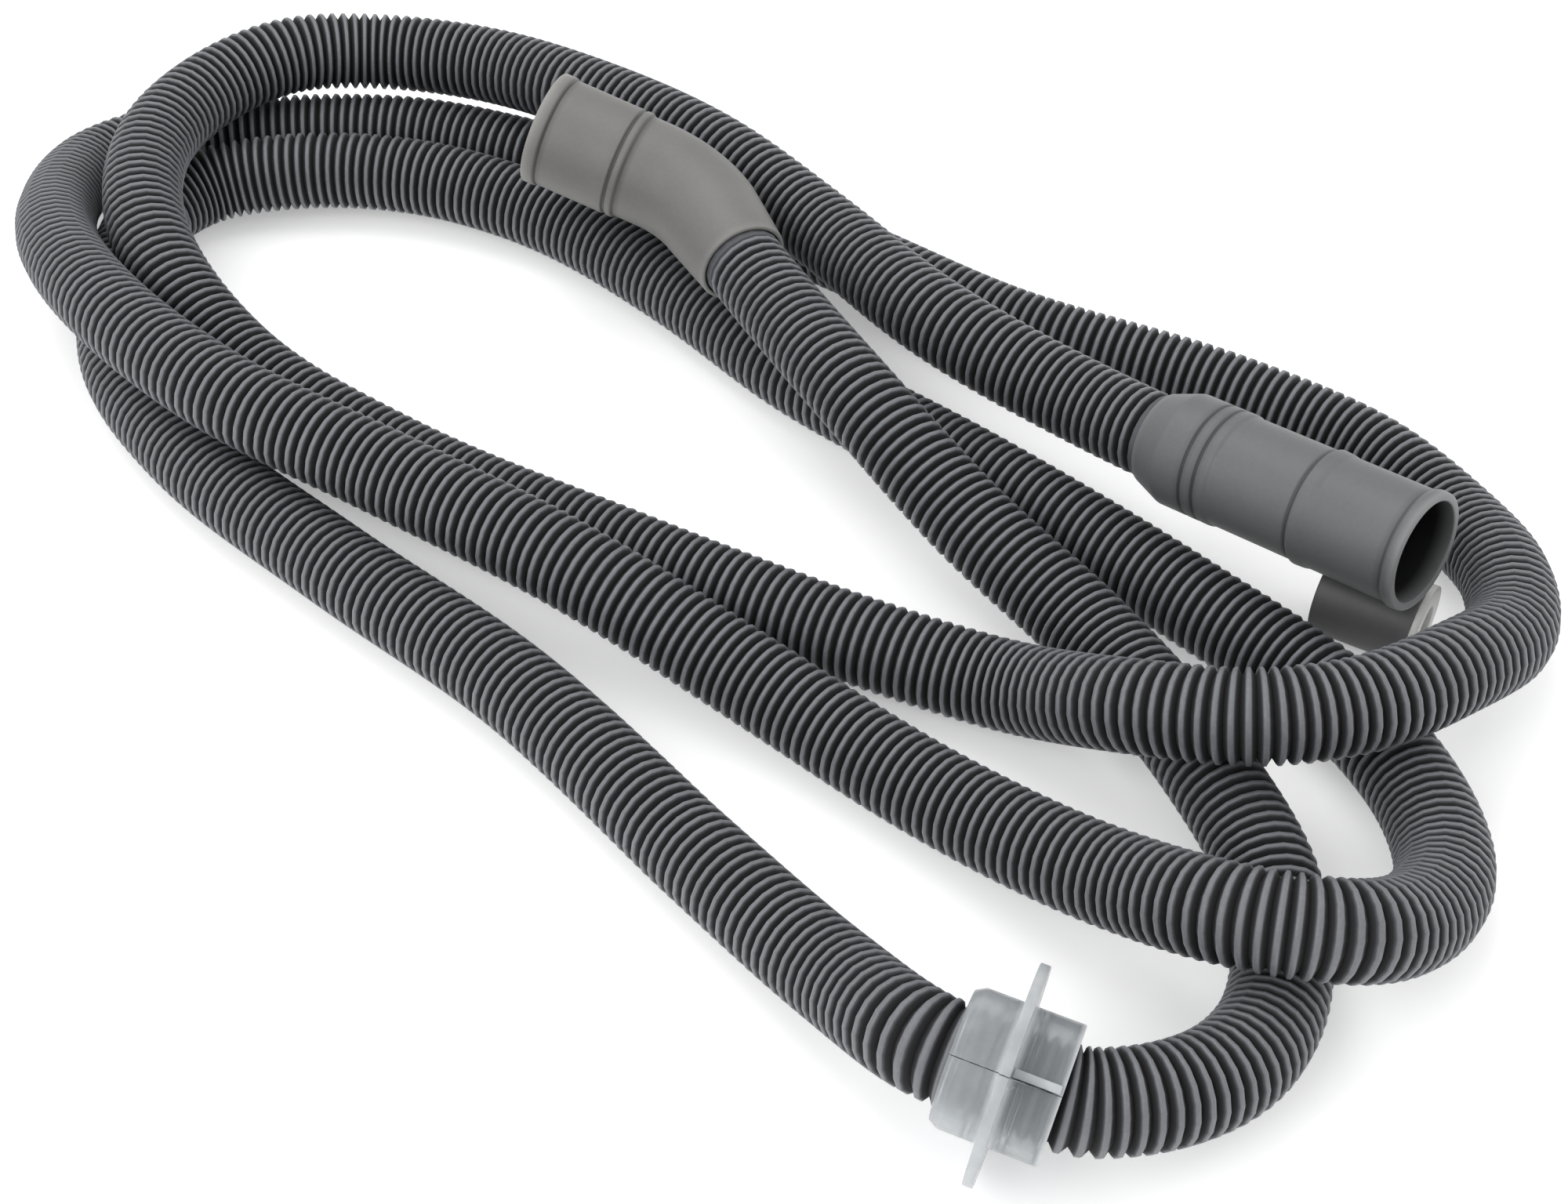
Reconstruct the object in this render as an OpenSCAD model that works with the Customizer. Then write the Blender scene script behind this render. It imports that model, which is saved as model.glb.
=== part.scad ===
// Ribbed drain hose, lying in loose loops, with a rubber cuff at each end,
// a two-part wall bush clipped round it and a loose adapter beside it.
// Millimetres, +Z up. The origin is under the middle of the heap, on the surface it lies on.

/* [Hose] */
// Outside diameter over the ribs
hose_d = 25.5; // [25.3:0.1:25.6]
// Wall of the plain tube that stands for the ribbed wall
hose_wall = 1.5; // [1:0.1:2]
// Length of hose held inside each cuff
hose_grip = 15; // [10:1:18]

/* [Elbow cuff] */
// Length from the hose to the start of the bend
elbow_leg = 22.5; // [20:0.5:26]
// Length from the end of the bend to the mouth
elbow_barrel = 37.5; // [36:0.5:40]
// Radius of the bend along its middle
elbow_bend_r = 36; // [30:1:40]
// Angle of the bend in degrees
elbow_bend = 42; // [38:1:45]
// Outside diameter of the barrel
elbow_d = 35.2; // [34.6:0.2:35.6]
// Bore of the mouth
elbow_bore = 30; // [29:0.2:30.4]

/* [Straight cuff] */
// Overall length
cuff_l = 87.5; // [86:0.5:90]
// Outside diameter of the grip end
cuff_d = 34; // [33.6:0.2:34.4]
// Bore of the mouth
cuff_bore = 29.6; // [29:0.2:30]

/* [Wall bush] */
// Length of the bush along the hose
bush_l = 27; // [24:1:30]
// Outside diameter of the barrel
bush_d = 34.4; // [34:0.2:36]
// Diameter of the flange
flange_d = 54; // [50:0.5:54]
// Thickness of the flange
flange_t = 2.6; // [2:0.1:3.5]

/* [Adapter] */
// Length of the dark sleeve
sleeve_l = 28; // [24:1:29]
// Outside diameter of the sleeve
sleeve_d = 24.4; // [23:0.2:24.4]
// Bore of the pale liner
liner_bore = 12.6; // [10:0.2:13]

/* [Hidden] */
$fn = 96;

// Centre line of the hose from the elbow cuff to the straight cuff, in whole millimetres
ROUTE = [
    // down from the elbow cuff and round to the wall bush
    [5, 85, 42], [16, 66, 40], [41, 25, 36], [71, -12, 23], [103, -47, 14],
    [128, -93, 13], [142, -141, 13], [138, -172, 13], [123, -196, 19], [100, -208, 24],
    [85, -209, 25], [69, -203, 27], [53, -197, 29],
    // back along the surface, round the left and to the right again
    [32, -171, 19], [-5, -126, 13], [-56, -67, 13], [-112, -18, 13], [-164, 32, 13],
    [-189, 70, 13], [-197, 114, 13], [-194, 148, 13], [-180, 166, 13], [-151, 172, 15],
    [-107, 169, 15], [-68, 153, 14], [-17, 110, 13], [21, 67, 13], [75, 20, 14],
    [132, -33, 13], [172, -78, 13], [185, -111, 14], [184, -139, 19], [170, -160, 28],
    [150, -171, 39], [129, -167, 39], [100, -144, 25],
    // second turn, over the first on the left
    [59, -108, 14], [10, -67, 15], [-39, -35, 26], [-99, 1, 32], [-149, 29, 38],
    [-189, 67, 40], [-211, 103, 35], [-220, 145, 24], [-217, 174, 16], [-201, 191, 13],
    [-169, 197, 13], [-108, 197, 13], [-65, 182, 13], [-10, 157, 13], [33, 131, 13],
    [88, 91, 13], [157, 56, 13], [195, 28, 13], [214, -3, 14], [220, -35, 22],
    [216, -58, 26], [195, -81, 36], [168, -99, 41], [137, -104, 41], [112, -95, 35],
    // last turn, up over the others and into the straight cuff
    [80, -70, 16], [36, -48, 13], [-33, -11, 13], [-99, 27, 14], [-147, 59, 22],
    [-174, 89, 33], [-188, 123, 38], [-189, 157, 39], [-176, 186, 39], [-152, 207, 39],
    [-123, 215, 35], [-88, 208, 35], [-47, 183, 38], [-4, 148, 39], [28, 114, 35],
    [65, 65, 35], [109, 27, 33], [126, 11, 35],
];
LAST = len(ROUTE) - 1;

// How each cuff is turned where it leaves the hose: compass angle, rise and roll
elbow_az = 117.5;
elbow_rise = 6.4;
elbow_roll = 13.6;
cuff_az = -42.1;
cuff_rise = 6.6;

// The wall bush: where it is, its axis and how steeply its parting plane climbs to the front
bush_at = [69, -203, 27];
bush_az = -20.6;
bush_rise = -6.7;
parting_rise = 55;
part_gap = 0.1;
hinge_bead_r = 0.6;
hinge_r = flange_d / 2 + 0.9;
bush_wall = 2;
bush_bore_d = hose_d + 1.7;
rib_w = 1.4;
rib_count = 4;
bush_bevel = 1.2;

// The loose adapter, lying level under the straight cuff's mouth
adapter_at = [171.1, -28.2, 12.4];
adapter_az = -30.2;
liner_wall = 2;
liner_l = 20;
liner_flange_t = 2.5;

// The plain tube is drawn a little inside the tips of the ribs
tube_r = hose_d / 2 - 0.35;
tube_sides = 10;
// Clear way through both cuffs past the end of the hose
passage_r = 11.3;
mouth_depth = 30;
throat_l = 5;
lead_in = 0.5;
groove_w = 1.2;
groove_depth = 0.6;
over = 1;
lap = 0.1;
lap_angle = 1.5;

cuff_grey = [0.6, 0.6, 0.59];
dark_grey = [0.3, 0.31, 0.33];
clear_white = [0.85, 0.86, 0.85];

function unit(v) = v / norm(v);
function heading(az, rise) = [cos(az) * cos(rise), sin(az) * cos(rise), sin(rise)];

// Centre line with the two ends that are held in the cuffs
SPINE = concat(
    [ROUTE[0] + hose_grip * heading(elbow_az, elbow_rise)],
    ROUTE,
    [ROUTE[LAST] + hose_grip * heading(cuff_az, cuff_rise)]
);
RINGS = len(SPINE);
function along(i) =
    i == 0 ? unit(SPINE[1] - SPINE[0]) :
    i == RINGS - 1 ? unit(SPINE[i] - SPINE[i - 1]) :
    unit(unit(SPINE[i + 1] - SPINE[i]) + unit(SPINE[i] - SPINE[i - 1]));
function ring(i, r) =
    let (side = unit(cross(along(i), [0, 0, 1])), lift = cross(side, along(i)))
    [for (k = [0:tube_sides - 1]) let (a = 360 * k / tube_sides) SPINE[i] + r * (cos(a) * side + sin(a) * lift)];
function skin(r) = [for (i = [0:RINGS - 1]) each ring(i, r)];
function corner(i, k, shift) = shift + i * tube_sides + k % tube_sides;
// Two triangles for each of the flats between ring i and ring j
function band(i, j, shift_i, shift_j) = [
    for (k = [0:tube_sides - 1])
        each [
            [corner(i, k, shift_i), corner(i, k + 1, shift_i), corner(j, k, shift_j)],
            [corner(i, k + 1, shift_i), corner(j, k + 1, shift_j), corner(j, k, shift_j)],
        ]
];

// Puts a shape that runs along +X from the origin at a point, with an angle, a rise and a roll
module place(at, az, rise = 0, roll = 0) {
    translate(at)
        rotate([roll, -rise, az])
            children();
}

// A round shape about the X axis from an outline of [radius, distance] points
module turned(outline, angle = 360) {
    rotate([0, 90, 0])
        rotate_extrude(angle = angle)
            polygon(outline);
}

// A plain round bar along X, which also drills a plain hole
module rod(r, from, to) {
    translate([from, 0, 0])
        rotate([0, 90, 0])
            cylinder(r = r, h = to - from);
}

// The way out of a cuff along X: a passage that widens into the mouth's bore, and its lead-in
module mouth_hole(r, bore_r, from, mouth) {
    turned([
        [0, from],
        [r, from],
        [r, mouth - mouth_depth - throat_l],
        [bore_r, mouth - mouth_depth],
        [bore_r, mouth - lead_in],
        [bore_r + lead_in + over, mouth + over],
        [0, mouth + over],
    ]);
}

// A shallow groove round a barrel of radius r
module groove(r, x) {
    turned([
        [r - groove_depth, x],
        [r + over, x],
        [r + over, x + groove_w],
        [r - groove_depth, x + groove_w],
    ]);
}

module hose() {
    inner = RINGS * tube_sides;
    color(dark_grey)
        polyhedron(
            points = concat(skin(tube_r), skin(tube_r - hose_wall)),
            faces = concat(
                [for (i = [0:RINGS - 2]) each band(i, i + 1, 0, 0)],
                [for (i = [0:RINGS - 2]) each band(i + 1, i, inner, inner)],
                band(0, 0, inner, 0),
                band(RINGS - 1, RINGS - 1, 0, inner)
            )
        );
}

// Moves to the end of the elbow's bend, looking out of the barrel
module past_bend() {
    translate([elbow_leg + elbow_bend_r * sin(elbow_bend), elbow_bend_r * (1 - cos(elbow_bend)), 0])
        rotate([0, 0, elbow_bend])
            children();
}

// The elbow's bend with a round section, run on a little where it joins the barrel
module bent_bar(r, run_on = 0) {
    translate([elbow_leg, elbow_bend_r, 0])
        rotate([0, 0, -90])
            rotate_extrude(angle = elbow_bend + run_on)
                translate([elbow_bend_r, 0])
                    circle(r = r);
}

module elbow_cuff() {
    barrel_r = elbow_d / 2;
    neck_r = 16.8;
    nose_r = 14.4;
    lip_r = 18.2;
    lip_l = 4.5;
    step_at = elbow_barrel - 31.5;
    groove_at = elbow_barrel - 28.6;
    color(cuff_grey)
        place(ROUTE[0], elbow_az, elbow_rise, elbow_roll)
            difference() {
                union() {
                    turned([[0, 0], [nose_r, 0], [neck_r, elbow_leg], [0, elbow_leg]]);
                    bent_bar(neck_r, lap_angle);
                    past_bend()
                        turned([
                            [0, 0],
                            [neck_r + lap, 0],
                            [neck_r + lap, step_at],
                            [barrel_r, step_at + over],
                            [barrel_r, elbow_barrel - lip_l - over],
                            [lip_r, elbow_barrel - lip_l],
                            [lip_r, elbow_barrel],
                            [0, elbow_barrel],
                        ]);
                }
                rod(hose_d / 2, -over, hose_grip);
                rod(passage_r, 0, elbow_leg);
                bent_bar(passage_r);
                past_bend() {
                    mouth_hole(passage_r + lap, elbow_bore / 2, -over, elbow_barrel);
                    groove(barrel_r, groove_at);
                }
            }
}

module straight_cuff() {
    grip_r = cuff_d / 2;
    nose_r = 13.9;
    nose_l = 9;
    neck_r = 16.5;
    step_at = 26;
    bump_at = 54;
    bump_w = 3;
    lip_r = 17.5;
    lip_l = 3;
    color(cuff_grey)
        place(ROUTE[LAST], cuff_az, cuff_rise)
            difference() {
                turned([
                    [0, 0],
                    [nose_r, 0],
                    [grip_r, nose_l],
                    [grip_r, step_at],
                    [neck_r, step_at + over],
                    [neck_r, bump_at],
                    [grip_r, bump_at + over],
                    [grip_r, bump_at + bump_w],
                    [neck_r, bump_at + bump_w + over],
                    [neck_r, cuff_l - lip_l - over],
                    [lip_r, cuff_l - lip_l],
                    [lip_r, cuff_l],
                    [0, cuff_l],
                ]);
                rod(hose_d / 2, -over, hose_grip);
                mouth_hole(passage_r, cuff_bore / 2, 0, cuff_l);
                groove(grip_r, 18);
                groove(grip_r, 22.5);
            }
}

// One half of the wall bush about +X, its middle towards +Y
module bush_half() {
    barrel_r = bush_d / 2;
    half_l = bush_l / 2;
    rib_pitch = (bush_l - rib_w) / (rib_count - 1);
    gap_angle = 2 * asin(part_gap / bush_d);
    rotate([gap_angle / 2, 0, 0])
        rotate([0, 90, 0])
            rotate_extrude(angle = 180 - gap_angle) {
                polygon([
                    [barrel_r - bush_wall, -half_l],
                    [barrel_r - bush_bevel, -half_l],
                    [barrel_r, -half_l + bush_bevel],
                    [barrel_r, half_l],
                    [barrel_r - bush_wall, half_l],
                ]);
                translate([barrel_r - bush_wall, -flange_t / 2])
                    square([flange_d / 2 - barrel_r + bush_wall, flange_t]);
                for (i = [0:rib_count - 1])
                    translate([bush_bore_d / 2, -half_l + i * rib_pitch])
                        square([barrel_r - bush_wall - bush_bore_d / 2 + over, rib_w]);
            }
}

// The catch beside the front seam: a bar along the barrel
module catch_bar(offset) {
    bar_w = 1.6;
    bar_h = 1.4;
    bar_l = bush_l / 2 - flange_t / 2 - 2;
    translate([flange_t / 2 + 1, offset, bush_d / 2 - bush_wall / 2])
        cube([bar_l, bar_w, bar_h + bush_wall / 2]);
}

// The bead along the flange's rear edge that the upper half swings on
module hinge_bead() {
    root = 1;
    translate([-flange_t / 2, part_gap / 2, flange_d / 2 - root])
        cube([flange_t, 2 * hinge_bead_r, hinge_r - flange_d / 2 + root]);
    translate([0, 0, hinge_r])
        rod(hinge_bead_r, -flange_t / 2, flange_t / 2);
}

module bush_half_lower() {
    color(clear_white)
        place(bush_at, bush_az, bush_rise, 270 - parting_rise) {
            bush_half();
            hinge_bead();
        }
}

module bush_half_upper() {
    color(clear_white)
        place(bush_at, bush_az, bush_rise, 90 - parting_rise) {
            bush_half();
            catch_bar(1);
        }
}

module adapter_sleeve() {
    color(dark_grey)
        place(adapter_at, adapter_az)
            difference() {
                rod(sleeve_d / 2, 0, sleeve_l);
                rod(liner_bore / 2 + liner_wall, -over, sleeve_l + over);
            }
}

module adapter_liner() {
    color(clear_white)
        place(adapter_at, adapter_az)
            difference() {
                union() {
                    rod(liner_bore / 2 + liner_wall, sleeve_l - liner_l, sleeve_l + liner_flange_t);
                    rod(sleeve_d / 2, sleeve_l, sleeve_l + liner_flange_t);
                }
                rod(liner_bore / 2, sleeve_l - liner_l - over, sleeve_l + liner_flange_t + over);
            }
}

hose();
elbow_cuff();
straight_cuff();
bush_half_lower();
bush_half_upper();
adapter_sleeve();
adapter_liner();
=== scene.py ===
import math

import bmesh
import bpy
import numpy as np
from bpy.props import FloatProperty, FloatVectorProperty, IntProperty, PointerProperty
from mathutils import Matrix, Vector


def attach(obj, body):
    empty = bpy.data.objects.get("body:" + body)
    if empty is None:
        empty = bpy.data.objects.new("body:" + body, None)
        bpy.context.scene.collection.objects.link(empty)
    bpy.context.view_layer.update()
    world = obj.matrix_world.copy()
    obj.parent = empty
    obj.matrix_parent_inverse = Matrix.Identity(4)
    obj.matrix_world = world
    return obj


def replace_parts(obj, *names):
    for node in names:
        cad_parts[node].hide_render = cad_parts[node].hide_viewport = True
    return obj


bl_info = {
    "name": "Ribbed hose with cuffs",
    "version": (1, 0, 0),
    "blender": (4, 5, 0),
    "location": "3D View > Sidebar > Hose",
    "description": "Builds a ribbed drain hose with its cuffs, wall bush and adapter",
    "category": "Add Mesh",
}

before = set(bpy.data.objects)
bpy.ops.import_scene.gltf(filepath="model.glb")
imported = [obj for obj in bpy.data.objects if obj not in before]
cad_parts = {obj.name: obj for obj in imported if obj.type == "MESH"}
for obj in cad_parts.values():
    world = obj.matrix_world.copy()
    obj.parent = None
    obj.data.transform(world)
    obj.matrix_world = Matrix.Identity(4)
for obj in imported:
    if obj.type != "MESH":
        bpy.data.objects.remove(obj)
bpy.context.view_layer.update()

HOSE_BODY = "hose_assembly"

# Centre line of the hose from the elbow cuff to the straight cuff, in metres
ROUTE = np.array([
    # down from the elbow cuff and round to the wall bush
    (.005, .085, .042), (.016, .066, .040), (.041, .025, .036), (.071, -.012, .023),
    (.103, -.047, .014), (.128, -.093, .013), (.142, -.141, .013), (.138, -.172, .013),
    (.123, -.196, .019), (.100, -.208, .024), (.085, -.209, .025), (.069, -.203, .027),
    (.053, -.197, .029),
    # back along the surface, round the left and to the right again
    (.032, -.171, .019), (-.005, -.126, .013), (-.056, -.067, .013), (-.112, -.018, .013),
    (-.164, .032, .013), (-.189, .070, .013), (-.197, .114, .013), (-.194, .148, .013),
    (-.180, .166, .013), (-.151, .172, .015), (-.107, .169, .015), (-.068, .153, .014),
    (-.017, .110, .013), (.021, .067, .013), (.075, .020, .014), (.132, -.033, .013),
    (.172, -.078, .013), (.185, -.111, .014), (.184, -.139, .019), (.170, -.160, .028),
    (.150, -.171, .039), (.129, -.167, .039), (.100, -.144, .025),
    # second turn, over the first on the left
    (.059, -.108, .014), (.010, -.067, .015), (-.039, -.035, .026), (-.099, .001, .032),
    (-.149, .029, .038), (-.189, .067, .040), (-.211, .103, .035), (-.220, .145, .024),
    (-.217, .174, .016), (-.201, .191, .013), (-.169, .197, .013), (-.108, .197, .013),
    (-.065, .182, .013), (-.010, .157, .013), (.033, .131, .013), (.088, .091, .013),
    (.157, .056, .013), (.195, .028, .013), (.214, -.003, .014), (.220, -.035, .022),
    (.216, -.058, .026), (.195, -.081, .036), (.168, -.099, .041), (.137, -.104, .041),
    (.112, -.095, .035),
    # last turn, up over the others and into the straight cuff
    (.080, -.070, .016), (.036, -.048, .013), (-.033, -.011, .013), (-.099, .027, .014),
    (-.147, .059, .022), (-.174, .089, .033), (-.188, .123, .038), (-.189, .157, .039),
    (-.176, .186, .039), (-.152, .207, .039), (-.123, .215, .035), (-.088, .208, .035),
    (-.047, .183, .038), (-.004, .148, .039), (.028, .114, .035), (.065, .065, .035),
    (.109, .027, .033), (.126, .011, .035),
])

# Where the wall bush sits on the route, and where the loose adapter's near end lies
BUSH_AT = ROUTE[11]
ADAPTER_AT = np.array((0.1711, -0.0282, 0.0124))

# How each piece is turned, in degrees: compass angle, rise and, but for the bush, roll
ELBOW_TURN = (117.5, 6.4, 13.6)
CUFF_TURN = (-42.1, 6.6, 0.0)
BUSH_TURN = (-20.6, -6.7)
ADAPTER_TURN = (-30.2, 0.0, 0.0)

# How far the bush's parting plane is rolled from level, in degrees
PARTING_ROLL = 55.0


# ---------------------------------------------------------------- sizes and colours


def length(name, description, default):
    """A length in metres that the user can change."""
    return FloatProperty(name=name, description=description, default=default, min=0.0, max=4.0,
                         unit="LENGTH", precision=5)


def colour(name, description, default):
    """A plain linear colour that the user can change."""
    return FloatVectorProperty(name=name, description=description, default=default, size=3,
                               min=0.0, max=1.0, subtype="COLOR")


class HoseSizes(bpy.types.PropertyGroup):
    """The ribbed tube"""

    across: length("Diameter", "Outside diameter over the ribs", 0.0255)
    pitch: length("Rib pitch", "Distance from one rib to the next", 0.0035)
    depth: length("Rib depth", "Depth of the grooves between ribs", 0.0021)
    wall: length("Wall", "Thickness under the grooves", 0.0006)
    grip: length("Grip", "Length held inside each cuff", 0.015)
    collar: length("Collar", "Plain length beside each cuff before the first rib", 0.0022)
    sides: IntProperty(name="Sides", description="Points round each rib", default=18, min=8, max=48)
    crown: colour("Rib", "Colour of the ribs", (0.146, 0.152, 0.165))
    # the groove colour is painted shade: it darkens the grooves, the rib sides and the lining inside the
    # tube
    groove: colour("Groove", "Colour down in the grooves", (0.004, 0.004, 0.005))


class CuffSizes(bpy.types.PropertyGroup):
    """The rubber cuffs at the two ends"""

    bore: length("Passage", "Radius of the way through past the hose", 0.0113)
    edge: length("Edge radius", "Rounding of the moulded edges", 0.0005)
    sides: IntProperty(name="Sides", description="Points round a cuff", default=96, min=24, max=256)
    elbow: colour("Elbow", "Colour of the elbow cuff", (0.150, 0.148, 0.142))
    straight: colour("Straight", "Colour of the straight cuff", (0.121, 0.124, 0.126))


class BushSizes(bpy.types.PropertyGroup):
    """The two-part wall bush"""

    length: length("Length", "Length along the hose", 0.027)
    across: length("Diameter", "Outside diameter of the barrel", 0.0344)
    flange: length("Flange", "Diameter of the flange", 0.054)
    thickness: length("Flange thickness", "Thickness of the flange", 0.0026)
    wall: length("Wall", "Thickness of the barrel", 0.002)
    clear: colour("Plastic", "Colour of the clear plastic", (0.74, 0.77, 0.79))


class AdapterSizes(bpy.types.PropertyGroup):
    """The loose sleeve and its liner"""

    length: length("Length", "Length of the sleeve", 0.028)
    across: length("Diameter", "Outside diameter of the sleeve", 0.0244)
    bore: length("Bore", "Bore of the liner", 0.0126)
    # the sleeve's dark grey is its own grey rubber darkened with painted shadow from the straight cuff
    # above it
    sleeve: colour("Sleeve", "Colour of the sleeve", (0.084, 0.084, 0.087))
    liner: colour("Liner", "Colour of the liner", (0.80, 0.80, 0.77))


class StageSizes(bpy.types.PropertyGroup):
    """Camera, lights and floor"""

    camera_back: length("Distance back", "How far in front of the middle the camera stands", 0.537)
    camera_side: length("Distance aside", "How far to the right the camera stands", 0.0175)
    camera_up: length("Height", "Height of the camera", 0.5126)
    look_down: FloatProperty(name="Look down", description="Angle below level that the camera looks",
                             default=math.radians(44.8), min=0.0, max=math.pi / 2, subtype="ANGLE")
    lens: FloatProperty(name="Lens", description="Focal length on a 36 mm film", default=57.6,
                        min=10.0, max=300.0, unit="CAMERA")
    floor: colour("Floor", "Colour of the floor", (0.93, 0.93, 0.93))


GROUPS = {
    "hose_sizes": HoseSizes,
    "cuff_sizes": CuffSizes,
    "bush_sizes": BushSizes,
    "adapter_sizes": AdapterSizes,
    "stage_sizes": StageSizes,
}


# ---------------------------------------------------------------- shader maths


class Wire:
    """A value on its way to a shader; arithmetic on it adds Math nodes."""

    def __init__(self, finish, socket):
        self.finish = finish
        self.socket = socket

    def _math(self, operation, first, second):
        return self.finish.node("ShaderNodeMath", {"operation": operation}, [first, second])

    def __add__(self, other):
        return self._math("ADD", self, other)

    __radd__ = __add__

    def __sub__(self, other):
        return self._math("SUBTRACT", self, other)

    def __rsub__(self, other):
        return self._math("SUBTRACT", other, self)

    def __mul__(self, other):
        return self._math("MULTIPLY", self, other)

    __rmul__ = __mul__

    def least(self, other):
        """The smaller of two values."""
        return self._math("MINIMUM", self, other)


class Finish:
    """A new material with one Principled shader, and its nodes made one call each."""

    def __init__(self, name, **constants):
        self.material = bpy.data.materials.new(name)
        self.material.use_nodes = True
        self.tree = self.material.node_tree
        self.shader = self.tree.nodes["Principled BSDF"]
        self.drive(**constants)

    def drive(self, **sockets):
        """Feeds the shader's own sockets; an underscore stands for a space in a socket's name."""
        for name, value in sockets.items():
            self.feed(self.shader.inputs[name.replace("_", " ")], value)

    def feed(self, socket, value):
        """Links a wire to a socket, or sets the socket to a number or a colour."""
        if isinstance(value, Wire):
            self.tree.links.new(value.socket, socket)
        elif socket.type == "RGBA":
            socket.default_value = (*value, 1.0)
        else:
            socket.default_value = value

    def node(self, kind, settings, values=(), output=0):
        """Adds a node: its settings first, then its sockets by place, identifier or name."""
        node = self.tree.nodes.new(kind)
        for key, value in settings.items():
            if key == "stops":
                self.set_stops(node.color_ramp, value)
            else:
                setattr(node, key, value)
        pairs = values.items() if isinstance(values, dict) else enumerate(values)
        for key, value in pairs:
            self.feed(self.pick(node.inputs, key), value)
        return Wire(self, self.pick(node.outputs, output))

    @staticmethod
    def pick(sockets, key):
        """A node's socket by its identifier where one fits, and otherwise by its name or place."""
        return next((socket for socket in sockets if socket.identifier == key), None) or sockets[key]

    @staticmethod
    def set_stops(ramp, stops):
        """Sets a ramp's (position, grey) stops."""
        while len(ramp.elements) < len(stops):
            ramp.elements.new(1.0)
        for element, (position, grey) in zip(ramp.elements, stops):
            element.position = position
            element.color = (grey, grey, grey, 1.0)

    def place(self):
        """Where a point is on the object, in metres."""
        return self.node("ShaderNodeTexCoord", {}, output="Object")

    def noise(self, scale, detail=3.0, roughness=0.5):
        """Soft cloudy noise from 0 to 1."""
        values = {"Vector": self.place(), "Scale": scale, "Detail": detail, "Roughness": roughness}
        return self.node("ShaderNodeTexNoise", {}, values, "Fac")

    def cells(self, scale):
        """Distance to the middle of small cells, for fine pits."""
        return self.node("ShaderNodeTexVoronoi", {}, {"Vector": self.place(), "Scale": scale}, "Distance")

    def stored(self, name):
        """A number stored on the mesh's points."""
        return self.node("ShaderNodeAttribute", {"attribute_name": name}, output="Fac")

    def ramp(self, value, *stops):
        """A value bent through grey stops."""
        return self.node("ShaderNodeValToRGB", {"stops": stops}, [value])

    def mix(self, share, first, second):
        """From the first colour to the second as share goes from 0 to 1."""
        values = {"Factor_Float": share, "A_Color": first, "B_Color": second}
        return self.node("ShaderNodeMix", {"data_type": "RGBA"}, values, "Result_Color")

    def bump(self, height, distance, strength):
        """A Bump node into the shader's Normal."""
        values = {"Height": height, "Distance": distance, "Strength": strength}
        relief = self.node("ShaderNodeBump", {}, values)
        self.drive(Normal=relief)
        return relief

    def blend_shader(self, share, other):
        """Shows another shader in place of the first one as share goes from 0 to 1."""
        first = Wire(self, self.shader.outputs["BSDF"])
        both = self.node("ShaderNodeMixShader", {}, [share, first, other])
        self.feed(self.tree.nodes["Material Output"].inputs["Surface"], both)


def tint(base, factor):
    """A colour made lighter or darker."""
    return tuple(min(1.0, c * factor) for c in base)


def hose_finish(sizes):
    """Satin grey polyethylene: pale blunt ribs, painted shade darkening the rib sides and the grooves,
    scuffs along the crowns.
    """
    finish = Finish("hose_ribbed_plastic", IOR=1.47)
    height = finish.stored("rib_height")
    # painted shade: the stored rib height sets how much of the groove colour darkens each ring
    shade = finish.ramp(height, (0.0, 0.0), (0.55, 0.09), (0.80, 0.38), (0.96, 1.0))
    cloud = finish.noise(60.0, 4.0)
    speck = finish.noise(900.0, 3.0, 0.7)
    ribs = finish.mix(cloud, tint(sizes.crown, 0.84), tint(sizes.crown, 1.18))
    wear_and_highlight = finish.mix(finish.ramp(speck, (0.45, 0.0), (0.8, 1.0)) * 0.35, ribs, tint(sizes.crown, 1.7))
    finish.drive(Base_Color=finish.mix(shade, sizes.groove, wear_and_highlight),
                 Roughness=0.82 - 0.46 * shade + 0.10 * cloud + 0.08 * speck)
    finish.bump(speck, 0.00006, 0.6)
    return finish.material


def rubber_finish(name, base, edge_highlight, roughness):
    """Moulded rubber with a faint bloom, fine pits, a painted highlight along its edges, painted shade in
    its creases and down its bore.
    """
    finish = Finish(name, IOR=1.50)
    cloud = finish.noise(45.0, 4.0, 0.55)
    grain = finish.noise(700.0, 4.0, 0.7)
    pits = finish.ramp(finish.cells(900.0), (0.0, 0.0), (0.25, 1.0))
    body = finish.mix(cloud, tint(base, 0.88), tint(base, 1.12))
    bloom = finish.mix(finish.ramp(grain, (0.4, 0.0), (0.85, 1.0)) * 0.25, body, tint(base, 1.5))
    # painted highlight: a pale band along the mouth and, weaker, along the nose end
    edge = finish.ramp(finish.stored("edge"), (0.0, 0.0), (1.0, 1.0)) * (0.55 + 0.45 * cloud)
    wear_and_highlight = finish.mix(edge, bloom, edge_highlight)
    # painted shade in the creases: the grooves, the step, the bead and the lip's foot
    outside = finish.mix(finish.stored("crease") * 0.75, wear_and_highlight, tint(base, 0.12))
    # painted shade down the bore, from just inside the mouth
    finish.drive(Base_Color=finish.mix(finish.stored("bore"), outside, tint(base, 0.06)),
                 Roughness=roughness + 0.14 * (1 - cloud) + 0.08 * grain)
    finish.bump(grain * 0.7 + pits * 0.3, 0.00008, 0.5)
    return finish.material


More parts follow.
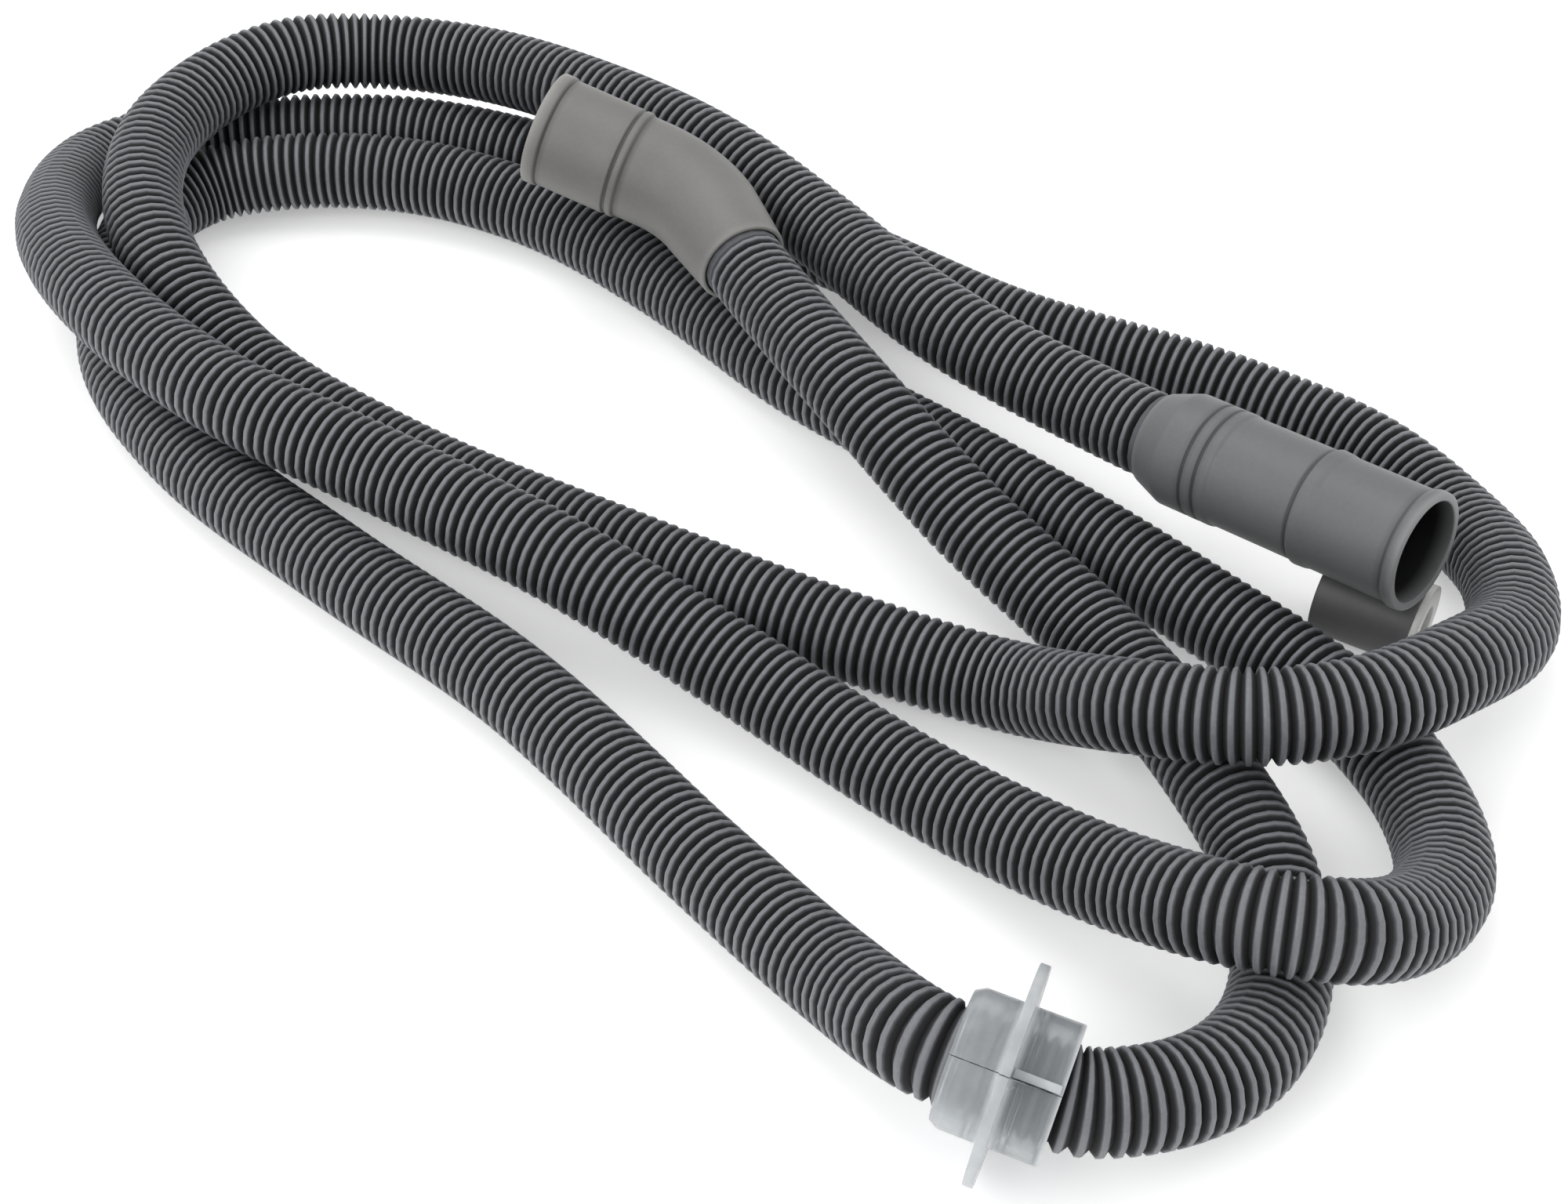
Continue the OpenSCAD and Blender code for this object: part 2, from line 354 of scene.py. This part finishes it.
def clear_finish(name, base, haze, transmission):
    """Clear polypropylene that turns milky where it is thick, with cloudy flow marks."""
    finish = Finish(name, IOR=1.40, Transmission_Weight=transmission)
    cloud = finish.noise(110.0, 4.0, 0.6)
    flow = finish.noise(420.0, 2.0, 0.5)
    body = finish.mix(cloud, tint(base, 0.92), tint(base, 1.06))
    finish.drive(Base_Color=body, Roughness=haze + 0.16 * cloud)
    relief = finish.bump(cloud * 0.6 + flow * 0.4, 0.00020, 0.5)
    milky = finish.node("ShaderNodeBsdfPrincipled", {}, {
        "Base Color": body, "Roughness": 0.34, "IOR": 1.46, "Transmission Weight": 0.25, "Normal": relief})
    finish.blend_shader((finish.stored("milk") * (0.75 + 0.5 * cloud)).least(0.95), milky)
    return finish.material


# ---------------------------------------------------------------- shapes


def turn_matrix(az, rise, roll):
    """The turn that points +X at a compass angle and rise, after a roll about it."""
    turned = Matrix.Rotation(math.radians(az), 3, "Z") @ Matrix.Rotation(math.radians(-rise), 3, "Y")
    return np.array(turned @ Matrix.Rotation(math.radians(roll), 3, "X"))


def heading(az, rise):
    """The direction with a compass angle and a rise, in degrees."""
    return turn_matrix(az, rise, 0.0)[:, 0]


def unit(vectors):
    """Vectors scaled to length one."""
    return vectors / np.linalg.norm(vectors, axis=-1, keepdims=True)


def smooth_line(points, spacing):
    """A smooth curve through points, sampled at about the given spacing."""
    step = np.linalg.norm(np.diff(points, axis=0), axis=1)
    chord = np.diff(points, axis=0) / step[:, None]
    slopes = np.empty_like(points)
    slopes[0], slopes[-1] = chord[0], chord[-1]
    before, after = step[:-1, None], step[1:, None]
    slopes[1:-1] = (chord[:-1] * after + chord[1:] * before) / (before + after)
    parts = []
    for i, size in enumerate(step):
        t = np.arange(0.0, 1.0, spacing / size)[:, None]
        parts.append((2 * t**3 - 3 * t**2 + 1) * points[i] + (t**3 - 2 * t**2 + t) * size * slopes[i]
                     + (3 * t**2 - 2 * t**3) * points[i + 1] + (t**3 - t**2) * size * slopes[i + 1])
    return np.vstack(parts + [points[-1:]])


def softened(line, spacing, reach):
    """A line with its small kinks smoothed out; its two ends stay put."""
    half = int(3 * reach / spacing)
    weights = np.exp(-0.5 * (np.arange(-half, half + 1) * spacing / reach) ** 2)
    weights /= weights.sum()
    ahead = 2 * line[0] - line[half:0:-1]
    behind = 2 * line[-1] - line[-2:-half - 2:-1]
    padded = np.vstack([ahead, line, behind])
    return np.stack([np.convolve(padded[:, axis], weights, "valid") for axis in range(3)], axis=1)


def hose_line(sizes):
    """The hose's centre line with the ends held in the cuffs, and the distance along it."""
    spacing, kink_reach, sway_reach = 0.001, 0.004, 0.007
    in_bush, past_bush = 0.020, 0.045
    start = ROUTE[0] + sizes.grip * heading(*ELBOW_TURN[:2])
    end = ROUTE[-1] + sizes.grip * heading(*CUFF_TURN[:2])
    line = smooth_line(np.vstack([start, ROUTE, end]), spacing)
    # the line is smoothed more away from the bush, whose barrel holds it true
    from_bush = np.linalg.norm(line - BUSH_AT, axis=1)[:, None]
    line = softened(line, spacing, kink_reach)
    relaxed = softened(line, spacing, sway_reach)
    line += (relaxed - line) * np.clip((from_bush - in_bush) / (past_bush - in_bush), 0.0, 1.0)
    line[:, 2] = np.maximum(line[:, 2], sizes.across / 2)
    travelled = np.concatenate([[0.0], np.cumsum(np.linalg.norm(np.diff(line, axis=0), axis=1))])
    return line, travelled


def points_along(line, travelled, stations):
    """The points at distances along a line."""
    return np.stack([np.interp(stations, travelled, line[:, axis]) for axis in range(3)], axis=1)


def rings_along(line, travelled, stations):
    """Centres and two cross directions at distances along a line that never stands upright."""
    gap = 0.0015
    ahead = points_along(line, travelled, stations + gap)
    behind = points_along(line, travelled, stations - gap)
    forward = unit(ahead - behind)
    side = unit(np.cross(forward, (0.0, 0.0, 1.0)))
    return points_along(line, travelled, stations), side, np.cross(side, forward)


def ring_mesh(name, centres, side, lift, radii, sides, stored):
    """A closed skin through rings of points: each ring joins the next, and the last joins the first."""
    count = len(centres)
    angle = np.linspace(0.0, 2 * math.pi, sides, endpoint=False)[None, :, None]
    across = np.cos(angle) * side[:, None, :] + np.sin(angle) * lift[:, None, :]
    points = (centres[:, None, :] + radii[:, None, None] * across).reshape(-1, 3)
    ring = np.arange(count)[:, None]
    turn = np.arange(sides)[None, :]
    here, there = ring * sides, (ring + 1) % count * sides
    corners = np.stack([here + turn, here + (turn + 1) % sides,
                        there + (turn + 1) % sides, there + turn], axis=-1).reshape(-1, 4)
    mesh = bpy.data.meshes.new(name)
    mesh.vertices.add(len(points))
    mesh.vertices.foreach_set("co", points.astype(np.float32).ravel())
    mesh.loops.add(corners.size)
    mesh.loops.foreach_set("vertex_index", corners.astype(np.int32).ravel())
    mesh.polygons.add(len(corners))
    mesh.polygons.foreach_set("loop_start", np.arange(0, corners.size, 4, dtype=np.int32))
    mesh.polygons.foreach_set("loop_total", np.full(len(corners), 4, np.int32))
    mesh.update(calc_edges=True)
    for key, values in stored.items():
        layer = mesh.attributes.new(key, "FLOAT", "POINT")
        layer.data.foreach_set("value", np.repeat(values, sides).astype(np.float32))
    return mesh


def outward(mesh):
    """Turns the faces of a closed mesh outward."""
    work = bmesh.new()
    work.from_mesh(mesh)
    bmesh.ops.recalc_face_normals(work, faces=work.faces)
    work.to_mesh(mesh)
    work.free()


def add_piece(mesh, material, slot, body, sharp=35.0):
    """Puts a mesh in the scene as a piece that rides on a body."""
    outward(mesh)
    mesh.materials.append(material)
    mesh.polygons.foreach_set("use_smooth", [True] * len(mesh.polygons))
    mesh.set_sharp_from_angle(angle=math.radians(sharp))
    piece = bpy.data.objects.new(mesh.name, mesh)
    bpy.context.collection.objects.link(piece)
    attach(piece, body)
    return piece


def rounded(outline, radius, steps=4):
    """A closed outline of (along, radius) points with each corner turned into a small arc."""
    points = np.array(outline, float)
    most = 0.45
    result = []
    for i, corner in enumerate(points):
        before, after = points[i - 1] - corner, points[(i + 1) % len(points)] - corner
        reach = min(radius, most * np.linalg.norm(before), most * np.linalg.norm(after))
        first, last = corner + reach * unit(before), corner + reach * unit(after)
        for t in np.linspace(0.0, 1.0, steps):
            result.append((1 - t) ** 2 * first + 2 * t * (1 - t) * corner + t**2 * last)
    return np.array(result)


def subdivided(outline, longest):
    """A closed outline with its long straight stretches cut into shorter ones."""
    result = []
    for here, there in zip(outline, np.roll(outline, -1, axis=0)):
        cuts = max(1, math.ceil(np.linalg.norm(there - here) / longest))
        result.extend(here + (there - here) * k / cuts for k in range(cuts))
    return np.array(result)


def wall_outline(outside, inside):
    """The closed outline of a tube wall, from its outside and inside (along, radius) points."""
    return list(outside) + list(reversed(inside))


def turned_mesh(name, outline, bend, origin, turn, sides, marks):
    """A tube wall swept along a straight or bent axis; bend is None or (start, radius, degrees)."""
    along, radius = outline[:, 0], outline[:, 1]
    centres = np.zeros((len(along), 3))
    lift = np.tile((0.0, 0.0, 1.0), (len(along), 1))
    angle = np.zeros(len(along))
    centres[:, 0] = along
    if bend:
        start, bend_r, degrees = bend
        full = math.radians(degrees)
        angle = np.clip((along - start) / bend_r, 0.0, full)
        past = np.maximum(along - start - bend_r * full, 0.0)
        centres[:, 0] = np.minimum(along, start) + bend_r * np.sin(angle) + past * np.cos(angle)
        centres[:, 1] = bend_r * (1 - np.cos(angle)) + past * np.sin(angle)
    side = np.stack([-np.sin(angle), np.cos(angle), np.zeros(len(along))], axis=1)
    matrix = turn_matrix(*turn)
    centres = origin + centres @ matrix.T
    stored = {key: mark(along, radius) for key, mark in marks.items()}
    return ring_mesh(name, centres, side @ matrix.T, lift @ matrix.T, radius, sides, stored)


# ---------------------------------------------------------------- pieces


def build_hose(context):
    """The ribbed tube, from inside one cuff to inside the other."""
    sizes = context.scene.hose_sizes
    line, travelled = hose_line(sizes)
    long, top = travelled[-1], sizes.across / 2
    # places across one rib, as a share of the pitch, and how far down each lies
    rib = [(0.01, 0.36), (0.13, 0.0), (0.39, 0.0), (0.51, 0.36), (0.76, 1.0)]
    # collar_shade puts a partial painted shade on the plain collar beside each cuff
    collar_down, collar_shade = 0.04, 0.84
    ribs = int(long / sizes.pitch)
    pitch = long / ribs
    # the ribs stand a little unevenly, as a share of the pitch, averaged over their neighbours
    uneven, together = 0.16, 9
    draws = np.random.default_rng(7).normal(0.0, 0.5, ribs + together - 1)
    shift = np.convolve(draws, np.ones(together) / together, "valid") * uneven
    stations, radii, height = [], [], []
    for number in range(ribs):
        for share, down in rib:
            at = (number + share + shift[number]) * pitch
            collar = min(abs(at - sizes.grip), abs(long - sizes.grip - at)) < sizes.collar
            stations.append(at)
            radii.append(top - sizes.depth * (collar_down if collar else down))
            height.append(collar_shade if collar else 1.0 - down)
    stations = np.clip(np.array(stations), 0.0, long)
    # the lining inside the tube takes the full painted shade of the grooves
    lining = np.linspace(long, 0.0, ribs // 4)
    lining_r = np.full(len(lining), top - sizes.depth - sizes.wall)
    centres, side, lift = rings_along(line, travelled, np.concatenate([stations, lining]))
    mesh = ring_mesh("ribbed_hose", centres, side, lift, np.concatenate([radii, lining_r]), sizes.sides,
                     {"rib_height": np.concatenate([height, np.zeros(len(lining))])})
    piece = add_piece(mesh, hose_finish(sizes), "hose_plastic", HOSE_BODY, sharp=80.0)
    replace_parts(piece, "hose")
    return piece, line[::4], long


def near(along, at, width):
    """One at a place along a piece, falling to nothing at a width from it."""
    return np.clip(1 - np.abs(along - at) / width, 0.0, 1.0)


def cuff_marks(mouth, width, wall_r, grip_r, grooves):
    """Where a cuff gets a painted highlight along its edges, painted shade in its creases, and painted
    shade down its bore.

    The bore is inside wall_r near the mouth and inside grip_r further back.
    """
    mouth_l, lit_l, fade_l, crease_w = 0.036, 0.0012, 0.004, 0.0011

    def outer(along, radius):
        return (radius > np.where(along > mouth - mouth_l, wall_r, grip_r)).astype(float)

    def edge(along, radius):
        # painted highlight along the mouth, half as strong at the nose end
        wear_and_highlight = np.maximum(near(along, mouth, width), 0.5 * near(along, 0.0, 0.6 * width))
        return outer(along, radius) * wear_and_highlight

    def crease(along, radius):
        # painted shade along the grooves and steps of the outside
        return outer(along, radius) * sum(near(along, at, crease_w) for at in grooves)

    def bore(along, radius):
        # painted shade inside the bore, past a lit strip lit_l long at the mouth
        return (1 - outer(along, radius)) * np.clip((mouth - lit_l - along) / fade_l, 0.0, 1.0)

    return {"edge": edge, "crease": crease, "bore": bore}


def groove_points(at, radius, width=0.0011, depth=0.0005):
    """The outline of a shallow groove in a barrel."""
    half, floor = width / 2, 0.2 * width
    return [(at - half, radius), (at - floor, radius - depth),
            (at + floor, radius - depth), (at + half, radius)]


def cuff_outline(context, outside, mouth, mouth_r):
    """The wall of a cuff: its outside, and inside it the hose's seat, the way through and the mouth."""
    sizes, hose = context.scene.cuff_sizes, context.scene.hose_sizes
    taper, mouth_l, longest = 0.005, 0.030, 0.0018
    seat_r = hose.across / 2
    inside = [(0.0, seat_r), (hose.grip, seat_r), (hose.grip, sizes.bore),
              (mouth - mouth_l - taper, sizes.bore), (mouth - mouth_l, mouth_r), (mouth, mouth_r)]
    return subdivided(rounded(wall_outline(outside, inside), sizes.edge), longest)


def build_elbow(context):
    """The bent cuff: tapered leg, bend, step, groove and a lipped mouth."""
    sizes = context.scene.cuff_sizes
    leg, bend_r, bend, barrel = 0.0225, 0.036, 42.0, 0.0375
    bent = leg + bend_r * math.radians(bend)
    mouth = bent + barrel
    nose, neck, body, lip, mouth_r = 0.0144, 0.0168, 0.0176, 0.0182, 0.0150
    shoulder, shoulder_r, leg_r = 0.012, nose + 0.0010, nose + 0.0019
    step, groove = mouth - 0.0315, mouth - 0.0282
    lip_foot = mouth - 0.0046
    outside = [
        (0.0, nose - 0.0004), (0.0008, nose), (shoulder, shoulder_r), (leg, leg_r), (bent, neck),
        (step, neck), (step + 0.0008, body), *groove_points(groove, body, 0.0014, 0.0007),
        (lip_foot - 0.0004, body), (lip_foot, body - 0.0003), (lip_foot + 0.0006, lip), (mouth, lip),
    ]
    outline = cuff_outline(context, outside, mouth, mouth_r)
    marks = cuff_marks(mouth, 0.0030, mouth_r + 0.0002, 0.0131, (step, groove, lip_foot))
    mesh = turned_mesh("rubber_elbow", outline, (leg, bend_r, bend), ROUTE[0], ELBOW_TURN,
                       sizes.sides, marks)
    material = rubber_finish("elbow_grey_rubber", sizes.elbow, tint(sizes.elbow, 2.1), 0.42)
    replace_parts(add_piece(mesh, material, "elbow_rubber", HOSE_BODY), "elbow_cuff")


def build_straight_cuff(context):
    """The straight cuff: tapered nose, two grooves, a step, a bead and an open lipped mouth."""
    sizes = context.scene.cuff_sizes
    mouth, nose, grip, neck, lip, mouth_r = 0.0875, 0.0137, 0.0170, 0.0165, 0.0174, 0.0148
    taper, step, bead, bead_end = 0.0090, 0.0262, 0.0532, 0.0575
    grooves = (0.0185, 0.0228)
    barrel = neck + 0.0001
    outside = [
        (0.0, nose), (taper, grip), *groove_points(grooves[0], grip), *groove_points(grooves[1], grip),
        (step, grip), (step + 0.0010, neck), (bead - 0.0008, neck), (bead, neck - 0.0006),
        (bead + 0.0010, grip + 0.0002), (bead_end, grip), (bead_end + 0.0015, barrel),
        (mouth - 0.0042, barrel), (mouth - 0.0026, lip), (mouth, lip - 0.0002),
    ]
    outline = cuff_outline(context, outside, mouth, mouth_r)
    creases = (*grooves, bead + 0.0001, mouth - 0.0040)
    marks = cuff_marks(mouth, 0.0022, mouth_r + 0.0002, 0.0131, creases)
    mesh = turned_mesh("rubber_straight_cuff", outline, None, ROUTE[-1], CUFF_TURN, sizes.sides, marks)
    material = rubber_finish("straight_grey_rubber", sizes.straight, tint(sizes.straight, 2.0), 0.40)
    piece = add_piece(mesh, material, "cuff_rubber", HOSE_BODY)
    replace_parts(piece, "straight_cuff")
    return piece


def half_outline(sizes, hose):
    """The closed (along, radius) outline of the bush wall, with its flange and inner ribs."""
    half, outer, plate = sizes.length / 2, sizes.across / 2, sizes.thickness / 2
    inner = outer - sizes.wall
    bore = hose.across / 2 + 0.00085
    rib_w, ribs = 0.0014, 4
    flange = sizes.flange / 2
    nose_l, nose_h = 0.0026, 0.0014
    outside = [(-half, outer - nose_h), (-half + nose_l, outer), (-plate, outer),
               (-plate, flange), (plate, flange), (plate, outer), (half, outer)]
    inside = []
    pitch = (sizes.length - rib_w) / (ribs - 1)
    for number in range(ribs):
        at = -half + number * pitch
        foot = [(at, inner), (at, bore), (at + rib_w, bore), (at + rib_w, inner)]
        # the end ribs finish flush with the wall's two ends
        inside.extend(foot[1:] if number == 0 else foot[:3] if number == ribs - 1 else foot)
    return rounded(wall_outline(outside, inside), 0.0003, steps=3)


def bush_milk(sizes, outline):
    """How milky each point of the bush's outline looks: most in the flange and along the end rim."""
    along, radius = outline[:, 0], outline[:, 1]
    outer = sizes.across / 2
    barrel = radius <= outer + 0.0005
    root = (radius > outer - 0.0022) & (radius < outer + 0.004)
    flange = 0.80 * np.clip(1.6 - np.abs(along) / (0.75 * sizes.thickness), 0.0, 1.0) * root
    rim = 0.85 * near(along, sizes.length / 2, 0.0012)
    walls = np.where(along < 0, 0.27, 0.12) * barrel
    plate = 0.55 * ~barrel
    return np.maximum.reduce([flange, rim, walls, plate])


def half_shell(work, outline, milk, origin, matrix):
    """Half a turned wall, closed at its two parting faces; its middle is towards local +Y."""
    parting_gap, steps = 0.35, 48
    layer = work.verts.layers.float.new("milk")
    rows = []
    for angle in np.radians(np.linspace(-90.0 + parting_gap, 90.0 - parting_gap, steps + 1)):
        along, radius = outline[:, 0], outline[:, 1]
        local = np.stack([along, radius * math.cos(angle), radius * math.sin(angle)], axis=1)
        rows.append([work.verts.new(p) for p in origin + local @ matrix.T])
        for vert, share in zip(rows[-1], milk):
            vert[layer] = share
    for row, after in zip(rows, rows[1:]):
        for k in range(len(row)):
            work.faces.new((row[k - 1], row[k], after[k], after[k - 1]))
    work.faces.new(rows[0])
    work.faces.new(list(reversed(rows[-1])))
    bmesh.ops.triangulate(work, faces=[f for f in work.faces if len(f.verts) > 4])


def make_milky(work, verts):
    """Marks the points of a small solid lug as milky."""
    layer = work.verts.layers.float["milk"]
    for vert in verts:
        vert[layer] = 0.75


def block(work, low, high, matrix, origin, bevel):
    """A small block with softened edges, between two local corners."""
    made = bmesh.ops.create_cube(work, size=1.0)["verts"]
    size = np.subtract(high, low)
    for vert in made:
        vert.co = Vector(origin + matrix @ (low + (np.array(vert.co) + 0.5) * size))
    make_milky(work, made)
    edges = list(dict.fromkeys(edge for vert in made for edge in vert.link_edges))
    bmesh.ops.bevel(work, geom=edges, offset=bevel, segments=2, affect="EDGES", profile=0.5)


def catch_bar(work, sizes, matrix, origin):
    """The bar beside the front seam that clips the two halves together."""
    outer = sizes.across / 2
    low = (sizes.thickness / 2 + 0.0004, 0.0003, outer - 0.0010)
    high = (sizes.length / 2 - 0.0006, 0.0024, outer + 0.0011)
    block(work, low, high, matrix, origin, 0.0003)


def hinge_bead(work, sizes, matrix, origin):
    """The bead along the flange's rear edge that the upper half swings on, and the web that holds it."""
    bead_r, rim, half = 0.0006, sizes.flange / 2, sizes.thickness / 2
    bead_at = rim + 0.0009
    block(work, (-half, 0.0001, rim - 0.0010), (half, 0.0012, bead_at), matrix, origin, 0.0002)
    made = bmesh.ops.create_cone(work, cap_ends=True, segments=20, radius1=bead_r, radius2=bead_r,
                                 depth=sizes.thickness)["verts"]
    centre = origin + matrix @ np.array((0.0, 0.0, bead_at))
    turn = Matrix(matrix).to_4x4() @ Matrix.Rotation(math.pi / 2, 4, "Y")
    bmesh.ops.transform(work, matrix=Matrix.Translation(centre) @ turn, verts=made)
    make_milky(work, made)


def build_bush(context):
    """The two clear halves that clip round the hose, hinged at the back and caught at the front."""
    sizes, hose = context.scene.bush_sizes, context.scene.hose_sizes
    material = clear_finish("milky_clear_plastic", sizes.clear, 0.16, 0.92)
    outline = subdivided(half_outline(sizes, hose), 0.0012)
    milk = bush_milk(sizes, outline)
    for name, node, body, roll, extra in (
        ("bush_shell_lower", "bush_half_lower", "bush_lower", 270.0 - PARTING_ROLL, hinge_bead),
        ("bush_shell_upper", "bush_half_upper", "bush_upper", 90.0 - PARTING_ROLL, catch_bar),
    ):
        matrix = turn_matrix(*BUSH_TURN, roll)
        work = bmesh.new()
        half_shell(work, outline, milk, BUSH_AT, matrix)
        extra(work, sizes, matrix, BUSH_AT)
        mesh = bpy.data.meshes.new(name)
        work.to_mesh(mesh)
        work.free()
        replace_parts(add_piece(mesh, material, "clear_plastic", body, sharp=40.0), node)


def build_adapter(context):
    """The short sleeve, its grey rubber darkened with painted shadow from the straight cuff, and the pale
    liner pushed into it.
    """
    sizes = context.scene.adapter_sizes
    outer, bore, end = sizes.across / 2, sizes.bore / 2, sizes.length
    liner_wall, liner_l, edge, longest, sides = 0.002, 0.020, 0.0004, 0.003, 72
    # a little thinner than the solid's collar, so it clears the hose's ribs when slid right out
    collar_t = 0.0020
    inner = bore + liner_wall
    sleeve = wall_outline([(0.0, outer - 0.0003), (0.0004, outer), (end, outer)],
                          [(0.0, inner), (end, inner)])
    liner = wall_outline([(end - liner_l, inner), (end, inner), (end, outer), (end + collar_t, outer)],
                         [(end - liner_l, bore), (end + collar_t, bore)])
    for name, outline, marks, material, slot, node in (
        ("sleeve_painted_shadow", sleeve, cuff_marks(end, 0.0005, inner + 0.0004, inner + 0.0004, ()),
         rubber_finish("sleeve_rubber_painted_shadow", sizes.sleeve, tint(sizes.sleeve, 2.2), 0.38),
         "sleeve_rubber", "adapter_sleeve"),
        ("pale_liner", liner, {"milk": lambda along, radius: np.full(len(along), 0.9)},
         clear_finish("pale_liner_plastic", sizes.liner, 0.24, 0.15),
         "clear_plastic", "adapter_liner"),
    ):
        outline = subdivided(rounded(outline, edge), longest)
        mesh = turned_mesh(name, outline, None, ADAPTER_AT, ADAPTER_TURN, sides, marks)
        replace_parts(add_piece(mesh, material, slot, "adapter"), node)


# ---------------------------------------------------------------- stage


def add_light(name, energy, size, place, aim):
    """A square soft light that looks at a point."""
    data = bpy.data.lights.new(name, "AREA")
    data.energy = energy
    data.size = size
    light = bpy.data.objects.new(name, data)
    light.location = place
    light.rotation_euler = (Vector(aim) - Vector(place)).to_track_quat("-Z", "Y").to_euler()
    bpy.context.collection.objects.link(light)


def build_stage(context):
    """The camera, three soft lights, a white surround and the pale floor."""
    sizes = context.scene.stage_sizes
    data = bpy.data.cameras.new("view_camera")
    data.lens = sizes.lens
    data.sensor_width = 36.0
    data.clip_start = 0.01
    camera = bpy.data.objects.new("view_camera", data)
    camera.location = (sizes.camera_side, -sizes.camera_back, sizes.camera_up)
    camera.rotation_euler = (math.pi / 2 - sizes.look_down, 0.0, 0.0)
    context.collection.objects.link(camera)
    context.scene.camera = camera

    middle = (0.0, 0.0, 0.02)
    add_light("key_light", 6.0, 0.8, (-0.75, -0.75, 1.00), middle)
    add_light("top_light", 5.0, 0.9, (-0.25, 0.45, 1.20), middle)
    add_light("side_light", 2.0, 0.8, (1.1, 0.25, 0.65), middle)

    world = bpy.data.worlds.new("white_surround")
    world.use_nodes = True
    surround = world.node_tree.nodes["Background"].inputs
    surround["Color"].default_value = (1.0, 1.0, 1.0, 1.0)
    surround["Strength"].default_value = 0.84
    context.scene.world = world
    context.scene.view_settings.view_transform = "Standard"

    mesh = bpy.data.meshes.new("studio_floor")
    work = bmesh.new()
    bmesh.ops.create_grid(work, x_segments=8, y_segments=8, size=40.0)
    work.to_mesh(mesh)
    work.free()
    floor = bpy.data.objects.new("studio_floor", mesh)
    floor.location.z = -0.0002
    finish = Finish("pale_floor", Roughness=0.8, Emission_Color=(1.0, 1.0, 1.0),
                    Emission_Strength=0.34)
    grain = finish.noise(30.0)
    finish.drive(Base_Color=finish.mix(grain, tint(sizes.floor, 0.98), sizes.floor))
    mesh.materials.append(finish.material)
    context.collection.objects.link(floor)


# ---------------------------------------------------------------- operators and panel


class HOSE_OT_stage(bpy.types.Operator):
    """Adds the camera, the lights and the floor"""

    bl_idname = "hose.stage"
    bl_label = "Stage"

    def execute(self, context):
        build_stage(context)
        return {"FINISHED"}


class HOSE_OT_hose(bpy.types.Operator):
    """Adds the ribbed hose with the straight cuff on its far end"""

    bl_idname = "hose.hose"
    bl_label = "Hose and straight cuff"

    def execute(self, context):
        hose, path, long = build_hose(context)
        cuff = build_straight_cuff(context)
        return {"FINISHED"}


class HOSE_OT_elbow(bpy.types.Operator):
    """Adds the elbow cuff"""

    bl_idname = "hose.elbow"
    bl_label = "Elbow cuff"

    def execute(self, context):
        build_elbow(context)
        return {"FINISHED"}


class HOSE_OT_bush(bpy.types.Operator):
    """Adds the two halves of the wall bush"""

    bl_idname = "hose.bush"
    bl_label = "Wall bush"

    def execute(self, context):
        build_bush(context)
        return {"FINISHED"}


class HOSE_OT_adapter(bpy.types.Operator):
    """Adds the loose sleeve and its liner"""

    bl_idname = "hose.adapter"
    bl_label = "Adapter"

    def execute(self, context):
        build_adapter(context)
        return {"FINISHED"}


OPERATORS = (HOSE_OT_stage, HOSE_OT_hose, HOSE_OT_elbow, HOSE_OT_bush, HOSE_OT_adapter)


class HOSE_PT_sidebar(bpy.types.Panel):
    """Lists the sizes and the steps that build the hose"""

    bl_idname = "HOSE_PT_sidebar"
    bl_label = "Ribbed hose"
    bl_space_type = "VIEW_3D"
    bl_region_type = "UI"
    bl_category = "Hose"

    def draw(self, context):
        for operator in OPERATORS:
            self.layout.operator(operator.bl_idname)
        for key, group in GROUPS.items():
            box = self.layout.box()
            box.label(text=group.__doc__)
            for name in group.__annotations__:
                box.prop(getattr(context.scene, key), name)


def register():
    """Adds the classes and hangs each group of sizes on the scene."""
    for cls in (*GROUPS.values(), *OPERATORS, HOSE_PT_sidebar):
        bpy.utils.register_class(cls)
    for key, group in GROUPS.items():
        setattr(bpy.types.Scene, key, PointerProperty(type=group))


def unregister():
    """Takes everything that register added away again."""
    for key in GROUPS:
        delattr(bpy.types.Scene, key)
    for cls in (HOSE_PT_sidebar, *reversed(OPERATORS), *reversed(GROUPS.values())):
        bpy.utils.unregister_class(cls)


def main():
    register()
    bpy.ops.hose.stage()
    bpy.ops.hose.hose()
    bpy.ops.hose.elbow()
    bpy.ops.hose.bush()
    bpy.ops.hose.adapter()


if __name__ == "__main__":
    main()
